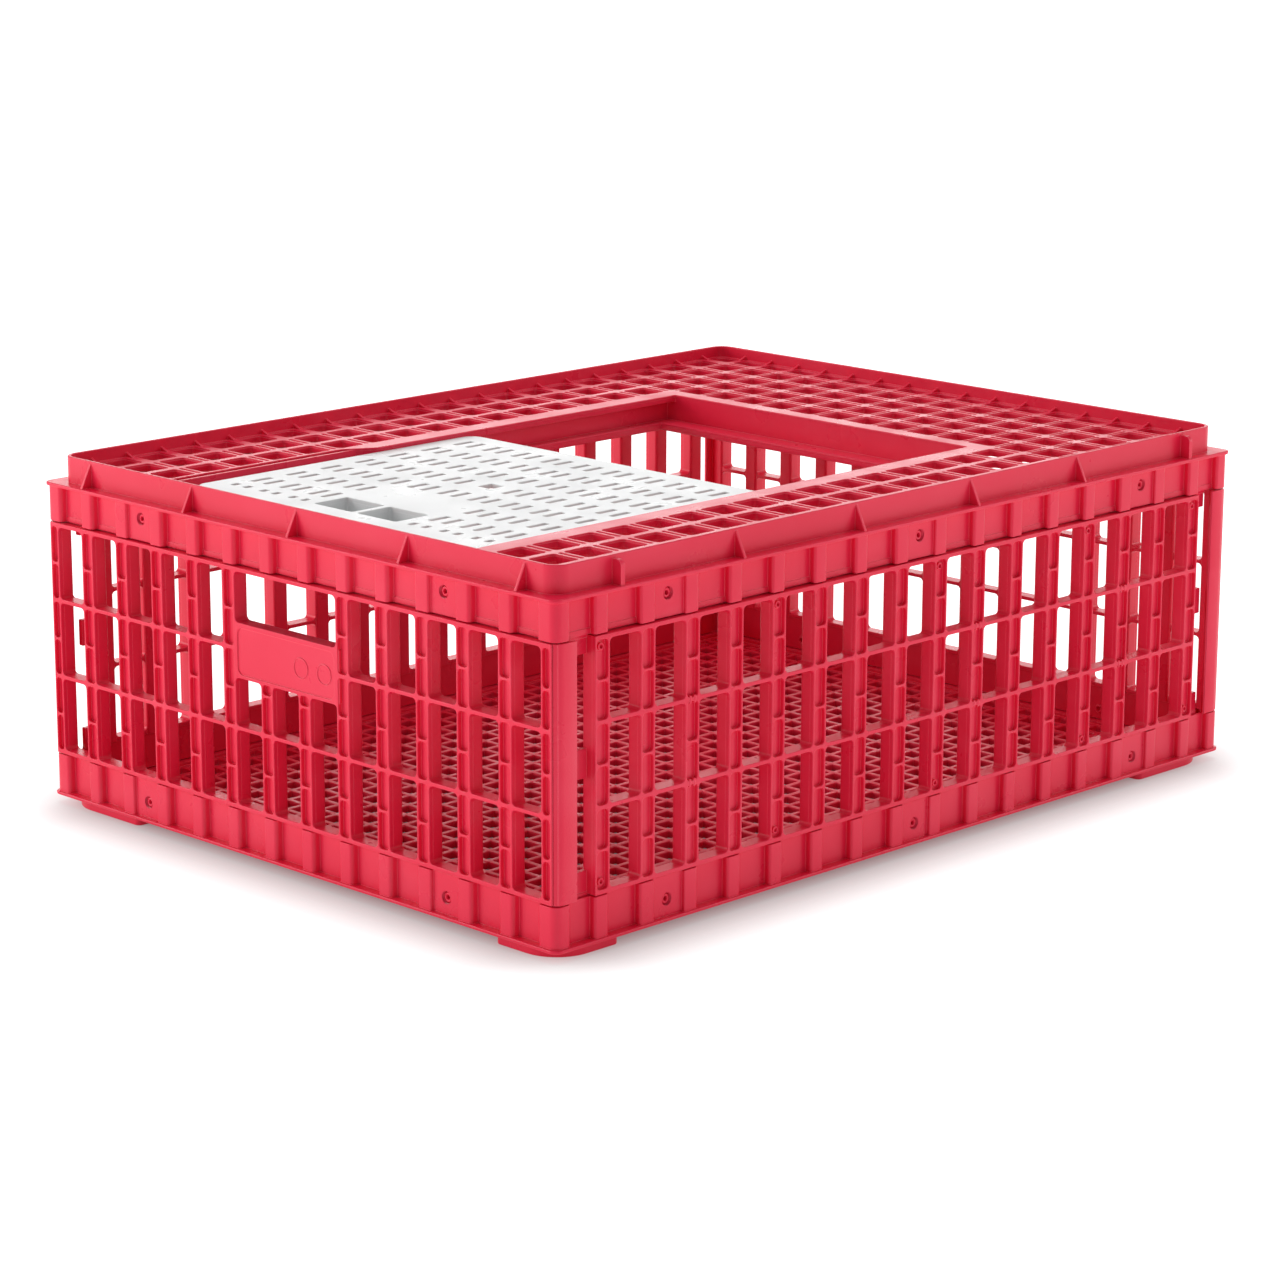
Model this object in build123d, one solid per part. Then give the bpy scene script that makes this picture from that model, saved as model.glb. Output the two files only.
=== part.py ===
from build123d import *
import os

os.makedirs("parts", exist_ok=True)

# Live-poultry transport crate: base tray, two long walls, two end walls, top frame
# with a grid and a sliding door, all held together by twenty hollow rivets.
# Z is up, X runs along the crate, Y across it, and Z = 0 is the ground.

# overall size
crate_length = 800.0
crate_width = 600.0
crate_height = 293.5
lip_corner_radius = 10.0

# heights of the stacked mouldings
foot_height = 8.0
base_plate_top = 11.0
lower_band_top = 43.0
wall_bottom = 44.0
wall_top = 239.0
upper_band_bottom = 240.0
ledge_bottom = 269.0
ledge_top = 272.0

# bands: outer face of the pilasters, recessed bays, inner face
face_inset = 1.5
bay_recess = 5.0
pad_recess = 2.2
band_thickness = 2.5
pilaster_width = 12.0

# floor mesh
floor_pitch = 20.0
floor_hole = 15.0
floor_columns = 38
floor_rows = 28
floor_border = 10.0
floor_border_top = 14.0

# feet
foot_inset = 3.5
foot_width = 22.0
foot_corner_radius = 26.0
foot_leg_short = 65.0
foot_leg_long = 100.0

# walls
wall_depth = 14.0
upright_web = 3.0
flange_thickness = 2.2
tongue_thickness = 3.0
tongue_bottom = 14.5
tongue_top = 268.0
long_uprights = 16
long_pitch = 46.8
long_upright_width = 14.0
end_uprights = 14
end_pitch = 44.65
end_upright_width = 12.8
window_rows = [(47.5, 108.4), (111.6, 172.4), (175.6, 235.5)]
channel_ribs = [77.5, 141.5, 205.0]
channel_rib_thickness = 2.0
corner_return = 21.5
tab_heights = [(44.0, 62.0), (132.0, 154.0), (225.0, 239.0)]
tab_recess = 5.5
corner_gap = 0.5

# hand hole in each end wall
hand_half_width = 59.5
hand_plate_bottom = 153.5
hand_hole_bottom = 195.0
hand_hole_top = 235.5
hand_plate_thickness = 3.5

# rim and grid of the top frame
rim_inset = 10.8
rim_thickness = 3.0
rim_corner_radius = 14.0
grid_top = 283.5
grid_thickness = 6.0
column_pitch = 36.0
columns = 20
cell_x = 26.0
row_pitch = 34.0
rows = 15
cell_y = 27.0
margin_wall = 2.2

# opening and slide rails of the top frame
opening_start = -368.0
opening_end = 205.0
opening_half = 171.0
rail_wall_inner = 180.5
rail_wall_outer = 183.5
rail_bottom = 254.0
rail_ledge_top = 260.5
rail_ledge_inner = 170.0
end_ledge = 19.0
lip_cut_end = -178.0
lip_lead_end = -150.0
lip_cut_half = 187.0

# ribs on the outside of the rim
rib_thickness = 3.0
end_rib_positions = [-257.5, -131.5, -5.0, 121.0, 250.0]
long_rib_positions = [-202.5, -68.0, 68.0, 202.5]
key_rib_positions = [-330.5, 344.0]

# sliding door
door_start = -348.0
door_end = -44.0
door_half = 170.2
door_top = 280.0
door_skin = 3.0
door_wall = 3.0
door_flange_half = 179.2
door_flange_bottom = 273.5
door_flange_top = 277.0
door_runner = 3.5
door_runner_bottom = 260.8
door_end_wall_bottom = 268.0
door_corner_radius = 12.0
slot_length = 20.5
slot_width = 6.5
slot_column_pitch = 36.75
slot_first_column = -294.5
slot_columns = 7
short_slot_x = -321.5
short_slot_length = 8.0
slot_pair_pitch = 35.3
slot_pair_half = 7.5
pocket_start = -326.0
pocket_end = -291.5
pocket_inner = 3.0
pocket_outer = 48.0
pocket_floor = 266.0
label_end = -236.0
label_half = 54.0
square_hole_x = -181.5
square_hole = 15.0

# rivets
rivet_hole = 6.0
rivet_shank = 5.8
counterbore = 9.2
counterbore_depth = 2.2
rivet_head = 8.8
rivet_head_height = 1.5
rivet_flare = 8.0
rivet_bore = 3.0
lower_rivet_z = 24.0
upper_rivet_z = 258.0
long_rivets = [-281.0, 0.0, 281.0]
end_rivets = [-178.0, 178.0]

half_length = crate_length / 2
half_width = crate_width / 2


def block(x0, x1, y0, y1, z0, z1):
    centre = ((x0 + x1) / 2, (y0 + y1) / 2, (z0 + z1) / 2)
    return Pos(*centre) * Box(abs(x1 - x0), abs(y1 - y0), abs(z1 - z0))


def plate(outline, z0, z1):
    return Pos(0, 0, z0) * extrude(outline, z1 - z0, dir=(0, 0, 1))


def rectangle_wire(x0, x1, y0, y1):
    return Pos((x0 + x1) / 2, (y0 + y1) / 2) * Wire.make_rect(abs(x1 - x0), abs(y1 - y0))


def rounded(half_x, half_y, radius):
    return RectangleRounded(2 * half_x, 2 * half_y, radius)


def rivet_places():
    """Every rivet as (side, position along the side, height)."""
    places = []
    for z in (lower_rivet_z, upper_rivet_z):
        for side in ("front", "rear"):
            for along in long_rivets:
                places.append((side, along, z))
        for side in ("left", "right"):
            for along in end_rivets:
                places.append((side, along, z))
    return places


def side_location(side):
    """Turns a shape drawn facing -Y so that it faces the named side."""
    turns = {"front": 0, "rear": 180, "left": -90, "right": 90}
    return Rot(0, 0, turns[side])


def side_reach(side):
    if side in ("front", "rear"):
        return half_width
    return half_length


def band_outline():
    """Plan of a band: a thin ring with pilasters and rivet pads on its outside."""
    bay_x = half_length - face_inset - bay_recess
    bay_y = half_width - face_inset - bay_recess
    front_x = half_length - face_inset
    front_y = half_width - face_inset
    pad_x = front_x - pad_recess
    pad_y = front_y - pad_recess
    solid = Rectangle(2 * bay_x, 2 * bay_y)
    shapes = []
    for k in range(long_uprights):
        x = (k - (long_uprights - 1) / 2) * long_pitch
        shapes.append(Pos(x, 0) * Rectangle(pilaster_width, 2 * front_y))
    for k in range(end_uprights):
        y = (k - (end_uprights - 1) / 2) * end_pitch
        shapes.append(Pos(0, y) * Rectangle(2 * front_x, pilaster_width))
    for x in long_rivets:
        shapes.append(Pos(x, 0) * Rectangle(34.0, 2 * pad_y))
    for y in end_rivets:
        shapes.append(Pos(0, y) * Rectangle(2 * pad_x, 28.0))
    for x in (-1, 1):
        for y in (-1, 1):
            post = Rectangle(20.0, 16.0)
            shapes.append(Pos(x * (front_x - 10.0), y * (front_y - 8.0)) * post)
    inner = Rectangle(2 * (bay_x - band_thickness), 2 * (bay_y - band_thickness))
    return (solid + shapes) - inner


def rivet_holes(z):
    """Stepped holes for the rivets of one band."""
    tools = []
    for side, along, height in rivet_places():
        if height != z:
            continue
        reach = side_reach(side)
        pad = reach - face_inset - pad_recess
        hole = Cylinder(rivet_hole / 2, 20.0, align=(Align.CENTER, Align.CENTER, Align.MAX))
        bore = Cylinder(counterbore / 2, counterbore_depth + 1.0,
                        align=(Align.CENTER, Align.CENTER, Align.MAX))
        placed = Pos(along, -(pad + 1.0), z) * Rot(90, 0, 0) * (hole + bore)
        tools.append(side_location(side) * placed)
    return tools


def feet():
    outer = rounded(half_length - foot_inset, half_width - foot_inset, foot_corner_radius)
    inner = rounded(half_length - foot_inset - foot_width, half_width - foot_inset - foot_width,
                    foot_corner_radius - foot_width)
    ring = outer - inner
    pads = []
    for x in (-1, 1):
        for y in (-1, 1):
            leg = foot_leg_long
            if x == y:
                leg = foot_leg_short
            corner_x = x * (half_length - foot_inset - leg / 2)
            corner_y = y * (half_width - foot_inset - leg / 2)
            cut = Pos(corner_x, corner_y) * Rectangle(leg, leg)
            pads.append(plate(ring & cut, 0.0, foot_height))
    return pads


def base_tray():
    outline = rounded(half_length, half_width, lip_corner_radius).face()
    holes = []
    for i in range(floor_columns):
        x = (i - (floor_columns - 1) / 2) * floor_pitch
        for j in range(floor_rows):
            y = (j - (floor_rows - 1) / 2) * floor_pitch
            h = floor_hole / 2
            holes.append(rectangle_wire(x - h, x + h, y - h, y + h))
    mesh = plate(Face(outline.outer_wire(), holes), foot_height, base_plate_top)
    band = plate(band_outline(), base_plate_top, lower_band_top)
    inner_x = half_length - face_inset - bay_recess - band_thickness
    inner_y = half_width - face_inset - bay_recess - band_thickness
    border = Rectangle(2 * inner_x, 2 * inner_y)
    border -= Rectangle(2 * (inner_x - floor_border), 2 * (inner_y - floor_border))
    border_strip = plate(border, base_plate_top, floor_border_top)
    upper = band + border_strip
    upper -= rivet_holes(lower_rivet_z)
    return mesh + upper + feet()


def panel_faces(half_span, uprights, pitch, upright_width, hand_hole):
    """Window face and channel face of a wall, drawn as seen from outside."""
    windows = []
    channels = []
    centres = [(k - (uprights - 1) / 2) * pitch for k in range(uprights)]
    for a, b in zip(centres[:-1], centres[1:]):
        x0 = a + upright_width / 2
        x1 = b - upright_width / 2
        for z0, z1 in window_rows:
            inside = abs((x0 + x1) / 2) < hand_half_width
            if hand_hole and inside:
                if z0 > hand_plate_bottom:
                    continue
                z1 = min(z1, hand_plate_bottom - 3.0)
            windows.append(rectangle_wire(x0, x1, z0, z1))
    for c in centres:
        x0 = c - upright_width / 2 + flange_thickness
        x1 = c + upright_width / 2 - flange_thickness
        for (z0, z1), rib in zip(window_rows, channel_ribs):
            if hand_hole and abs(c) < hand_half_width and z1 > hand_plate_bottom:
                if z0 > hand_plate_bottom:
                    continue
                z1 = hand_plate_bottom - 3.0
            low = rib - channel_rib_thickness / 2
            high = rib + channel_rib_thickness / 2
            channels.append(rectangle_wire(x0, x1, z0, low))
            channels.append(rectangle_wire(x0, x1, high, z1))
    if hand_hole:
        big = rectangle_wire(-hand_half_width, hand_half_width, hand_plate_bottom, hand_hole_top)
        windows.append(big)
    outer = rectangle_wire(-half_span, half_span, wall_bottom, wall_top)
    return Face(outer, windows), Face(outer, windows + channels)


def tongues(reach, half_span, rivets):
    """Strips that slip behind the bands and take the rivets."""
    face = reach - face_inset - bay_recess - band_thickness
    low = block(-half_span, half_span, -face, -face + tongue_thickness, tongue_bottom,
                wall_bottom + 2.0)
    high = block(-half_span, half_span, -face, -face + tongue_thickness, wall_top - 2.0,
                 tongue_top)
    holes = []
    for x in rivets:
        for z in (lower_rivet_z, upper_rivet_z):
            drill = Cylinder(rivet_hole / 2, 3 * tongue_thickness)
            holes.append(Pos(x, -face + tongue_thickness / 2, z) * Rot(90, 0, 0) * drill)
    return (low + high) - holes


def wall_body(reach, faces):
    outer = reach - face_inset
    inner = outer - wall_depth
    back = plate(faces[0], inner, inner + upright_web)
    front = plate(faces[1], inner + upright_web, outer)
    return Rot(90, 0, 0) * (back + front)


def long_wall():
    span = (long_uprights - 1) / 2 * long_pitch + long_upright_width / 2
    faces = panel_faces(span, long_uprights, long_pitch, long_upright_width, False)
    wall = wall_body(half_width, faces)
    post = half_length - face_inset - corner_return - corner_gap
    outer = half_width - face_inset
    tabs = []
    for side in (-1, 1):
        for z0, z1 in tab_heights:
            tabs.append(block(side * (span - 1.0), side * post, -outer + tab_recess,
                              -outer + wall_depth, z0, z1))
    return wall + tabs + tongues(half_width, post, long_rivets)


def end_wall():
    outer = half_length - face_inset
    span = half_width - face_inset
    faces = panel_faces(span, end_uprights, end_pitch, end_upright_width, True)
    wall = wall_body(half_length, faces)
    extras = []
    extras.append(block(-hand_half_width - 1.0, hand_half_width + 1.0, -outer,
                        -outer + hand_plate_thickness, hand_plate_bottom - 3.0, hand_hole_bottom))
    extras.append(block(-hand_half_width - 1.0, hand_half_width + 1.0, -outer,
                        -outer + wall_depth - 2.0, hand_hole_bottom - 3.0, hand_hole_bottom))
    for side in (-1, 1):
        extras.append(block(side * (span - wall_depth), side * span, -outer,
                            -outer + corner_return, wall_bottom, wall_top))
    return wall + extras + tongues(half_length, half_width - wall_depth - 2.0, end_rivets)


def grid_face():
    outer_x = half_length - rim_inset - rim_thickness
    outer_y = half_width - rim_inset - rim_thickness
    outline = rounded(outer_x, outer_y, rim_corner_radius - rim_thickness).face()
    holes = []
    x_spans = [(-outer_x + margin_wall, -columns / 2 * column_pitch - 5.0)]
    for i in range(columns):
        x = (i - (columns - 1) / 2) * column_pitch
        x_spans.append((x - cell_x / 2, x + cell_x / 2))
    x_spans.append((columns / 2 * column_pitch + 5.0, outer_x - margin_wall))
    y_spans = [(-outer_y + margin_wall, -rows / 2 * row_pitch - 3.5)]
    for j in range(rows):
        y = (j - (rows - 1) / 2) * row_pitch
        y_spans.append((y - cell_y / 2, y + cell_y / 2))
    y_spans.append((rows / 2 * row_pitch + 3.5, outer_y - margin_wall))
    last_x = len(x_spans) - 1
    last_y = len(y_spans) - 1
    for i, (x0, x1) in enumerate(x_spans):
        for j, (y0, y1) in enumerate(y_spans):
            if i in (0, last_x) and j in (0, last_y):
                continue
            if abs((y0 + y1) / 2) < lip_cut_half and (x0 + x1) / 2 < opening_end + 10.0:
                continue
            holes.append(rectangle_wire(x0, x1, y0, y1))
    opening = Polyline(
        (opening_start, -opening_half), (opening_end, -opening_half),
        (opening_end, opening_half), (lip_lead_end, opening_half),
        (lip_cut_end, lip_cut_half), (opening_start, lip_cut_half), close=True)
    holes.append(Wire(opening.edges()))
    return Face(outline.outer_wire(), holes)


def rails():
    """Channels that carry the door, and the end stop with its ledge."""
    parts = []
    start = opening_start - 3.0
    for side in (-1, 1):
        parts.append(block(start, opening_end, side * rail_wall_inner, side * rail_wall_outer,
                           rail_bottom, grid_top - 1.0))
        parts.append(block(start, opening_end, side * rail_ledge_inner, side * rail_wall_outer,
                           rail_ledge_top - 3.0, rail_ledge_top))
        parts.append(block(start, opening_end, side * rail_ledge_inner,
                           side * (rail_ledge_inner + 2.5), rail_bottom, rail_ledge_top))
    parts.append(block(opening_end, opening_end + 3.0, -rail_wall_outer, rail_wall_outer,
                       rail_bottom, grid_top - 1.0))
    parts.append(block(opening_end - end_ledge, opening_end + 3.0, -rail_wall_outer,
                       rail_wall_outer, rail_ledge_top - 3.0, rail_ledge_top))
    parts.append(block(opening_end - end_ledge, opening_end - end_ledge + 2.5,
                       -rail_ledge_inner, rail_ledge_inner, rail_bottom, rail_ledge_top))
    parts.append(block(opening_start - 3.0, opening_start, -rail_wall_outer, rail_wall_outer,
                       rail_bottom, grid_top - 1.0))
    return parts


def rim_ribs():
    """Thin triangular ribs and the two round-topped key ribs outside the rim."""
    ribs = []
    foot = rim_inset - 1.0
    height = crate_height - ledge_top - 2.0
    for side in ("front", "rear", "left", "right"):
        reach = side_reach(side)
        rim_face = reach - rim_inset
        positions = long_rib_positions
        if side in ("left", "right"):
            positions = end_rib_positions
        for x in positions:
            profile = Polygon((-1.0, 0), (foot, 0), (foot, 1.5), (0, height), (-1.0, height),
                              align=None)
            rib = extrude(Plane.YZ * profile, rib_thickness / 2, both=True)
            placed = Pos(x, -rim_face, ledge_top) * Rot(0, 0, 180) * rib
            ribs.append(side_location(side) * placed)
        if side in ("front", "rear"):
            for x in key_rib_positions:
                key = block(x - 2.0, x + 2.0, -rim_face - foot + 1.0, -rim_face + 1.0,
                            ledge_top - 0.5, crate_height - 3.0)
                ribs.append(side_location(side) * key)
    return ribs


def rim_fins():
    """Small fins where each grid bar runs up the inside of the rim."""
    fins = []
    rise = 6.5
    run = 22.0
    for side in ("front", "rear", "left", "right"):
        wall = side_reach(side) - rim_inset - rim_thickness
        count = columns + 1
        pitch = column_pitch
        if side in ("left", "right"):
            count = rows + 1
            pitch = row_pitch
        for k in range(count):
            x = (k - (count - 1) / 2) * pitch
            profile = Polygon((0, -2.0), (run, -2.0), (run, 0.0), (0, rise), align=None)
            fin = extrude(Plane.YZ * profile, 1.5, both=True)
            placed = Pos(x, -wall - 0.5, grid_top) * fin
            fins.append(side_location(side) * placed)
    return fins


def top_frame():
    rim_x = half_length - rim_inset
    rim_y = half_width - rim_inset
    inner = rounded(rim_x - rim_thickness, rim_y - rim_thickness,
                    rim_corner_radius - rim_thickness)
    ledge = plate(rounded(half_length, half_width, lip_corner_radius) - inner, ledge_bottom,
                  ledge_top)
    rim = plate(rounded(rim_x, rim_y, rim_corner_radius) - inner, ledge_top, crate_height)
    band = plate(band_outline(), upper_band_bottom, ledge_bottom)
    band -= rivet_holes(upper_rivet_z)
    grid = plate(grid_face(), grid_top - grid_thickness, grid_top)
    frame = grid + rails()
    return band + ledge + rim + frame + rim_ribs() + rim_fins()


def slot_wires():
    wires = []
    xs = [(short_slot_x, short_slot_length)]
    for i in range(slot_columns):
        xs.append((slot_first_column + i * slot_column_pitch, slot_length))
    for x, span in xs:
        for k in range(-4, 5):
            for half in (-1, 1):
                y = k * slot_pair_pitch + half * slot_pair_half
                if abs(y) < label_half and x < label_end:
                    continue
                beside_hole = abs(x - square_hole_x) < slot_length and abs(y) < slot_pair_half + 1
                if beside_hole:
                    continue
                wires.append(rectangle_wire(x - span / 2, x + span / 2, y - slot_width / 2,
                                            y + slot_width / 2))
    h = square_hole / 2
    wires.append(rectangle_wire(square_hole_x - h, square_hole_x + h, -h, h))
    for side in (-1, 1):
        wires.append(rectangle_wire(pocket_start, pocket_end, side * pocket_inner,
                                    side * pocket_outer))
    return wires


def sliding_door():
    middle = (door_start + door_end) / 2
    half = (door_end - door_start) / 2
    outline = Pos(middle, 0) * rounded(half, door_half, door_corner_radius)
    skin = plate(Face(outline.face().outer_wire(), slot_wires()), door_top - door_skin, door_top)
    inner = Pos(middle, 0) * rounded(half - door_wall, door_half - door_wall,
                                     door_corner_radius - door_wall)
    skirt = plate(outline - inner, door_end_wall_bottom, door_top - door_skin)
    parts = []
    for side in (-1, 1):
        parts.append(block(door_start + door_corner_radius, door_end - door_corner_radius,
                           side * (door_half - 1.0), side * door_flange_half,
                           door_flange_bottom, door_flange_top))
        parts.append(block(door_start + door_corner_radius, door_end - door_corner_radius,
                           side * (door_flange_half - door_runner), side * door_flange_half,
                           door_runner_bottom, door_flange_top))
        well = block(pocket_start - 2.0, pocket_end + 2.0, side * (pocket_inner - 2.0),
                     side * (pocket_outer + 2.0), pocket_floor - 2.0, door_top - door_skin)
        well -= block(pocket_start, pocket_end, side * pocket_inner, side * pocket_outer,
                      pocket_floor, door_top)
        parts.append(well)
    return skin + skirt + parts


def rivet():
    """Hollow rivet drawn along -Y with the underside of its head at y = 0."""
    grip = bay_recess - pad_recess - counterbore_depth + band_thickness + tongue_thickness
    head = Cylinder(rivet_head / 2, rivet_head_height,
                    align=(Align.CENTER, Align.CENTER, Align.MIN))
    shank = Cylinder(rivet_shank / 2, grip + rivet_head_height,
                     align=(Align.CENTER, Align.CENTER, Align.MAX))
    flare = Pos(0, 0, -grip) * Cylinder(rivet_flare / 2, rivet_head_height,
                                        align=(Align.CENTER, Align.CENTER, Align.MAX))
    body = head + shank + flare
    body -= Cylinder(rivet_bore / 2, 60.0)
    return Rot(90, 0, 0) * body


def placed_rivet(side, along, z):
    seat = side_reach(side) - face_inset - pad_recess - counterbore_depth
    return side_location(side) * Pos(along, -seat, z) * rivet()


def save(shape, name):
    solids = shape.solids()
    biggest = max(solids, key=lambda s: s.volume)
    print(name, len(solids), round(biggest.volume))
    biggest.label = name
    export_step(biggest, os.path.join("parts", name + ".step"))


save(base_tray(), "base_tray")
save(top_frame(), "top_frame")
front = long_wall()
save(front, "long_wall_front")
save(Rot(0, 0, 180) * front, "long_wall_rear")
left = Rot(0, 0, -90) * end_wall()
save(left, "end_wall_left")
save(Rot(0, 0, 180) * left, "end_wall_right")
save(sliding_door(), "sliding_door")
level_names = {lower_rivet_z: "low", upper_rivet_z: "high"}
counters = {}
for side, along, z in rivet_places():
    key = "rivet_" + side + "_" + level_names[z]
    counters[key] = counters.get(key, 0) + 1
    save(placed_rivet(side, along, z), key + "_" + str(counters[key]))
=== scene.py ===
import math

import bmesh
import bpy
import numpy as np
from mathutils import Matrix, Vector


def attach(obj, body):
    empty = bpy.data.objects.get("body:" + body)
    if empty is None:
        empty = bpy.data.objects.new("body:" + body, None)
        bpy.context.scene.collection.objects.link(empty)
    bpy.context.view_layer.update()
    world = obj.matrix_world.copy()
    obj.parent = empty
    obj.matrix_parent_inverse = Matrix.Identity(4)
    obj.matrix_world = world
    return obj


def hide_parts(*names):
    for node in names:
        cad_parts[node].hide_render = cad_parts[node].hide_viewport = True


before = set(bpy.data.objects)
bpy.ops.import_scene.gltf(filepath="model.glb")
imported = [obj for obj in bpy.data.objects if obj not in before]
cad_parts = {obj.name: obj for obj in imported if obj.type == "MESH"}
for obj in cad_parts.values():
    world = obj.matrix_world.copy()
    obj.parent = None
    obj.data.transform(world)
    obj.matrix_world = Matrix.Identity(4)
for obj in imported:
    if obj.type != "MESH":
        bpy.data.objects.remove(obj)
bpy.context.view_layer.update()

MM = 0.001

# ---------------------------------------------------------------- shared sizes, in millimetres
# heights above the floor
FOOT_TOP = 8.0
LIP_TOP = 11.0
BAND_TOP = 43.0
WALL = (44.0, 239.0)
UPPER_BAND = 240.0
LEDGE = (269.0, 272.0)
GRID = (277.5, 283.5)
RIM_TOP = 293.5

# the footprint, and how far inside it each upright face lies
HALF_X = 400.0
HALF_Y = 300.0
FACE = 1.5
PILASTER_IN = 1.8
PAD = 4.6
BAY = 7.8
BAND_IN = 10.0
RIM_OUT = 10.8
RIM_IN = 13.8

# uprights of the walls; the bands have pilasters at the same places
LONG = {"count": 16, "pitch": 46.8, "width": 14.8}
END = {"count": 14, "pitch": 44.65, "width": 14.0}

# rivets, and their stepped holes
LONG_RIVETS = [-281.0, 0.0, 281.0]
END_RIVETS = [-178.0, 178.0]
RIVET_Z = {"low": 24.0, "high": 258.0}
SEAT = 3.6
SEAT_RADIUS = 5.0
BORE = 3.0

# plan corners of the lip and ledge, and of everything inside the rim
LIP_ROUND = 7.5
RIM_INNER_ROUND = 11.0

EDGE = 0.5
SINK = 0.1

SIDE_TURN = {"front": 0, "rear": 180, "left": -90, "right": 90}
LONG_SIDES = ("front", "rear")
END_SIDES = ("left", "right")


def centres(run):
    """Evenly spaced places about zero."""
    return [(k - (run["count"] - 1) / 2) * run["pitch"] for k in range(run["count"])]


def between(run):
    """The places between and beyond the centres of a run."""
    return centres({"count": run["count"] + 1, "pitch": run["pitch"]})


# ---------------------------------------------------------------- mesh tools
SHARP = math.radians(40.0)
LATTICE_DIGITS = 3
QUAD = ((0, 0), (1, 0), (1, 1), (0, 1))


class Cells:
    """A moulding drawn as boxes added and cut on one uneven lattice, meshed as one closed skin."""

    def __init__(self):
        self.boxes = []

    def add(self, x0, x1, y0, y1, z0, z1, fill=True):
        self.boxes.append((x0, x1, y0, y1, z0, z1, fill))

    def cut(self, x0, x1, y0, y1, z0, z1):
        self.add(x0, x1, y0, y1, z0, z1, False)

    def lattice(self):
        """The lattice's lines on each axis, and which of its cells are full, inside an empty rim."""
        axes = []
        for k in range(3):
            values = [value for box in self.boxes for value in box[2 * k:2 * k + 2]]
            axes.append(np.unique(np.round(values, LATTICE_DIGITS)))
        full = np.zeros([len(lines) + 1 for lines in axes], bool)
        for box in self.boxes:
            span = []
            for k in range(3):
                low, high = np.searchsorted(axes[k], np.round(box[2 * k:2 * k + 2], LATTICE_DIGITS))
                span.append(slice(low + 1, high + 1))
            full[tuple(span)] = box[6]
        return axes, full

    def mesh(self):
        """The skin between full and empty cells."""
        axes, full = self.lattice()
        bm = bmesh.new()
        verts = {}

        def corner(i, j, k):
            if (i, j, k) not in verts:
                verts[i, j, k] = bm.verts.new((axes[0][i], axes[1][j], axes[2][k]))
            return verts[i, j, k]

        for axis in range(3):
            u, v = [other for other in range(3) if other != axis]
            following = np.roll(full, -1, axis)
            for flip, mask in ((False, full & ~following), (True, ~full & following)):
                for cell in np.argwhere(mask):
                    ring = []
                    for du, dv in QUAD:
                        place = cell - 1
                        place[axis] += 1
                        place[u] += du
                        place[v] += dv
                        ring.append(corner(*place))
                    if flip == (axis != 1):
                        ring.reverse()
                    bm.faces.new(ring)
        bmesh.ops.recalc_face_normals(bm, faces=bm.faces)
        return bm


def bevel(bm, edges, width, clamp):
    bmesh.ops.bevel(bm, geom=edges, offset=width, offset_type="OFFSET", segments=1, profile=0.5,
                    affect="EDGES", clamp_overlap=clamp)


def merge(bm, other):
    """Adds another bmesh's shells to this one."""
    mesh = bpy.data.meshes.new("merge")
    other.to_mesh(mesh)
    other.free()
    bm.from_mesh(mesh)
    bpy.data.meshes.remove(mesh)


def subtract(bm, cutter):
    """The first shape with the second cut out of it."""
    things = []
    for shape in (bm, cutter):
        mesh = bpy.data.meshes.new("cut")
        shape.to_mesh(mesh)
        shape.free()
        thing = bpy.data.objects.new("cut", mesh)
        bpy.context.scene.collection.objects.link(thing)
        things.append(thing)
    cut = things[0].modifiers.new("cut", "BOOLEAN")
    cut.operation = "DIFFERENCE"
    cut.solver = "MANIFOLD"
    cut.object = things[1]
    bpy.context.view_layer.update()
    cut_thing = things[0].evaluated_get(bpy.context.evaluated_depsgraph_get())
    result = bpy.data.meshes.new_from_object(cut_thing)
    out = bmesh.new()
    out.from_mesh(result)
    bpy.data.meshes.remove(result)
    for thing in things:
        mesh = thing.data
        bpy.data.objects.remove(thing)
        bpy.data.meshes.remove(mesh)
    return out


def prism(points, x0, x1, soft):
    """A closed prism: the outline is (y, z) pairs, run from x0 to x1."""
    bm = bmesh.new()
    near = [bm.verts.new((x0, y, z)) for y, z in points]
    far = [bm.verts.new((x1, y, z)) for y, z in points]
    bm.faces.new(near)
    bm.faces.new(list(reversed(far)))
    for i in range(len(points)):
        j = (i + 1) % len(points)
        bm.faces.new((near[j], near[i], far[i], far[j]))
    bmesh.ops.recalc_face_normals(bm, faces=bm.faces)
    bevel(bm, list(bm.edges), soft, True)
    return bm


def lathe(profile, steps):
    """A closed solid of revolution about Z. The (r, z) outline closes itself and may meet the axis."""
    bm = bmesh.new()
    rings = []
    for k in range(steps):
        a = 2 * math.pi * k / steps
        rings.append([bm.verts.new((r * math.cos(a), r * math.sin(a), z)) for r, z in profile])
    n = len(profile)
    for k in range(steps):
        one, two = rings[k], rings[(k + 1) % steps]
        for i in range(n):
            j = (i + 1) % n
            bm.faces.new((one[i], two[i], two[j], one[j]))
    bmesh.ops.remove_doubles(bm, verts=bm.verts, dist=1e-4)
    bmesh.ops.delete(bm, geom=[e for e in bm.edges if not e.link_faces], context="EDGES")
    bmesh.ops.recalc_face_normals(bm, faces=bm.faces)
    return bm


def stand(bm, x=0.0, y=0.0, z=0.0):
    """Stands a shape drawn flat upright, with its top facing -Y, and moves it to a place."""
    bm.transform(Matrix.Translation((x, y, z)) @ Matrix.Rotation(math.radians(90), 4, "X"))
    return bm


def turned(bm, side):
    """Turns a shape drawn facing -Y to the named side."""
    bm.transform(Matrix.Rotation(math.radians(SIDE_TURN[side]), 4, "Z"))
    return bm


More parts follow.
